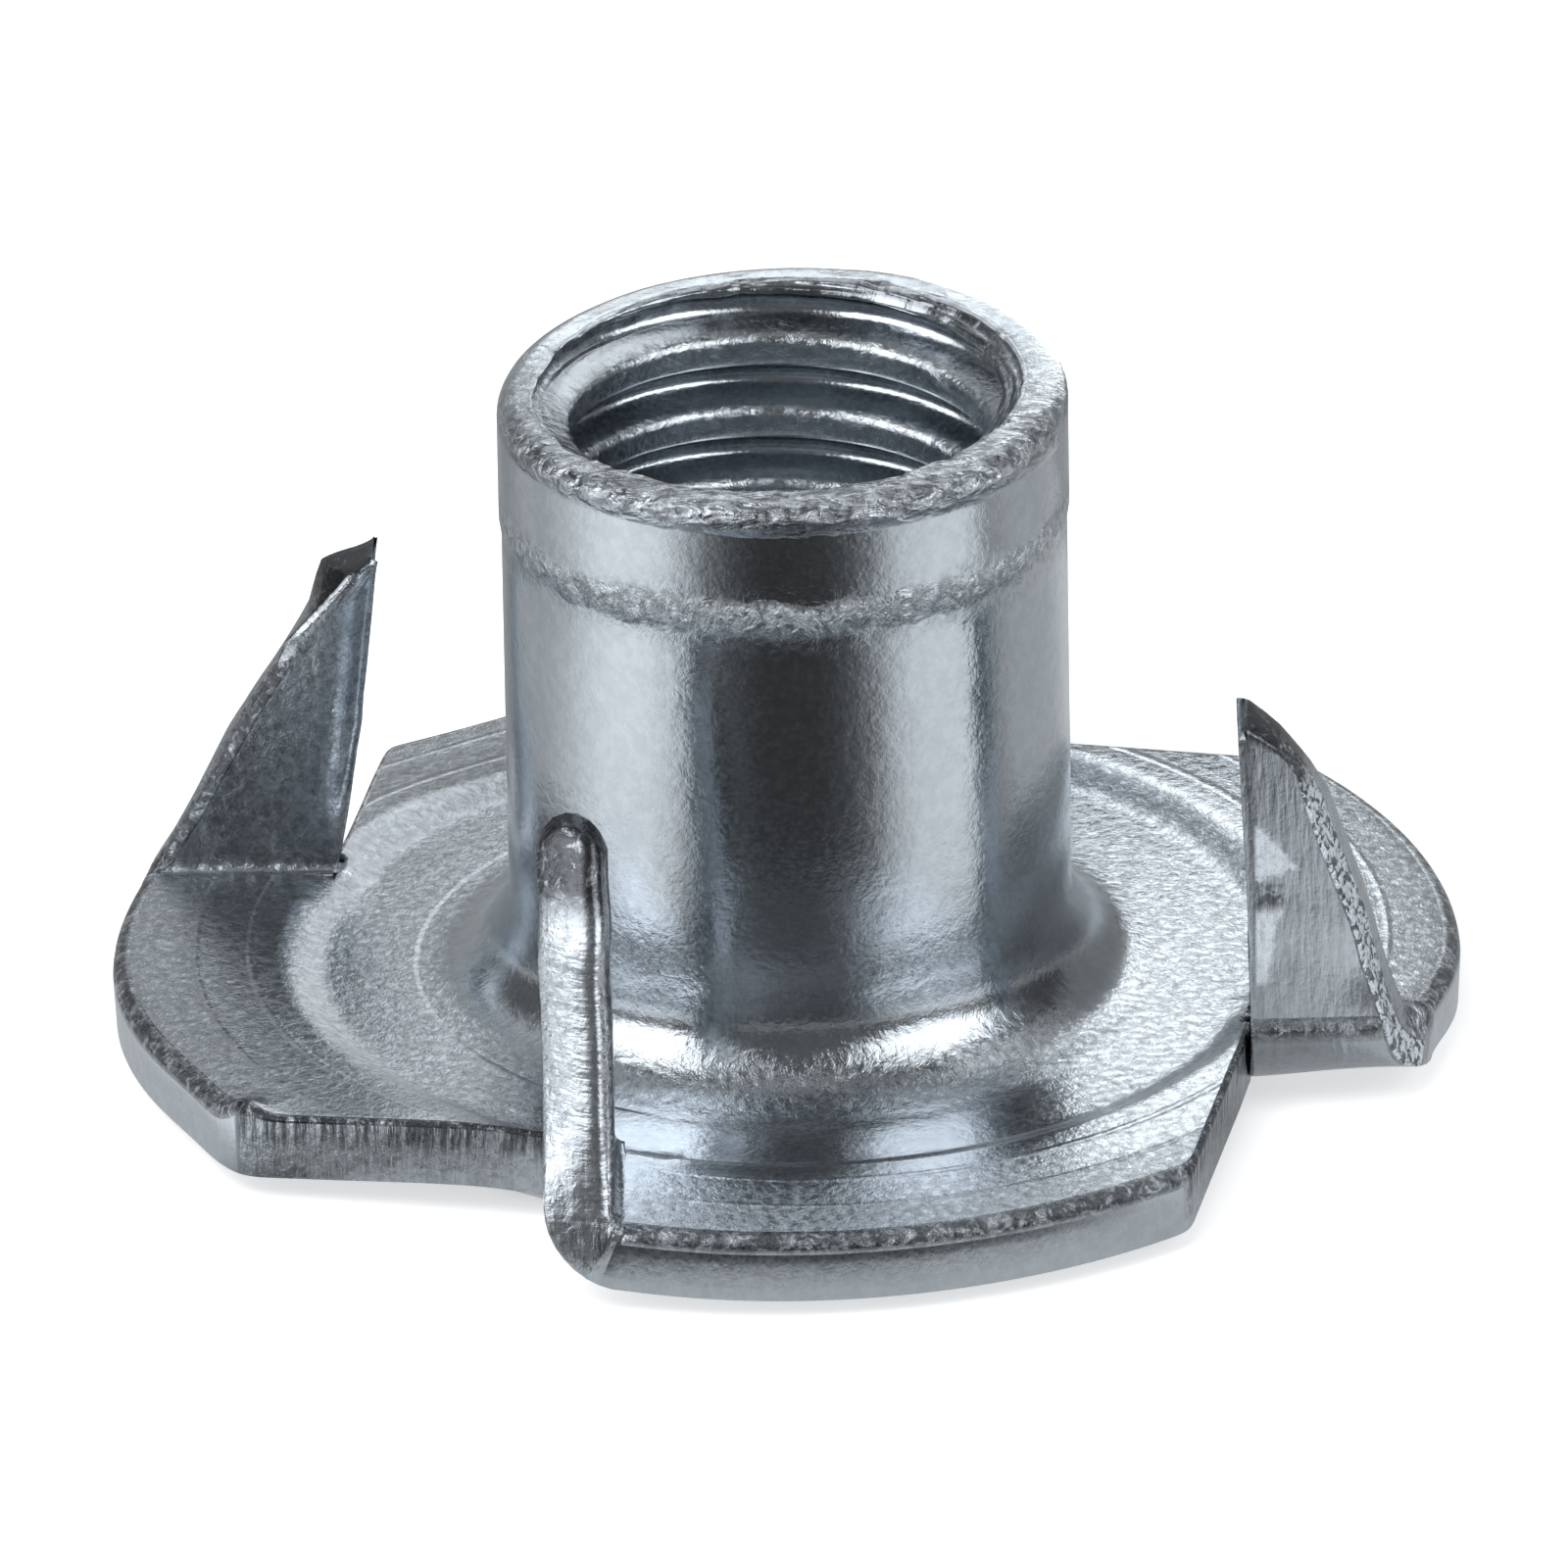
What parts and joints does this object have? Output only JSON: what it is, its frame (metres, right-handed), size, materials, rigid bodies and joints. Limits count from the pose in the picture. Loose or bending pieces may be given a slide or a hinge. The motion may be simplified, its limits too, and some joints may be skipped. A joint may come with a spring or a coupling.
{
  "type": "tee nut",
  "caption": "Pressed steel tee nut: threaded barrel on a dished round flange, with prongs bent up from its rim.",
  "frame": {"origin": "on the nut's axis, in the plane of the face it rests on, under the flange", "axes": "+Z along the barrel, from the flange to the mouth; one prong starts along +X"},
  "size_m": [0.0218, 0.0218, 0.0114],
  "materials": {
    "zinc_steel": "bright zinc plating on pressed steel, with sheared edges"
  },
  "bodies": {
    "root": {"tee_nut": "zinc_steel"}
  },
  "joints": []
}
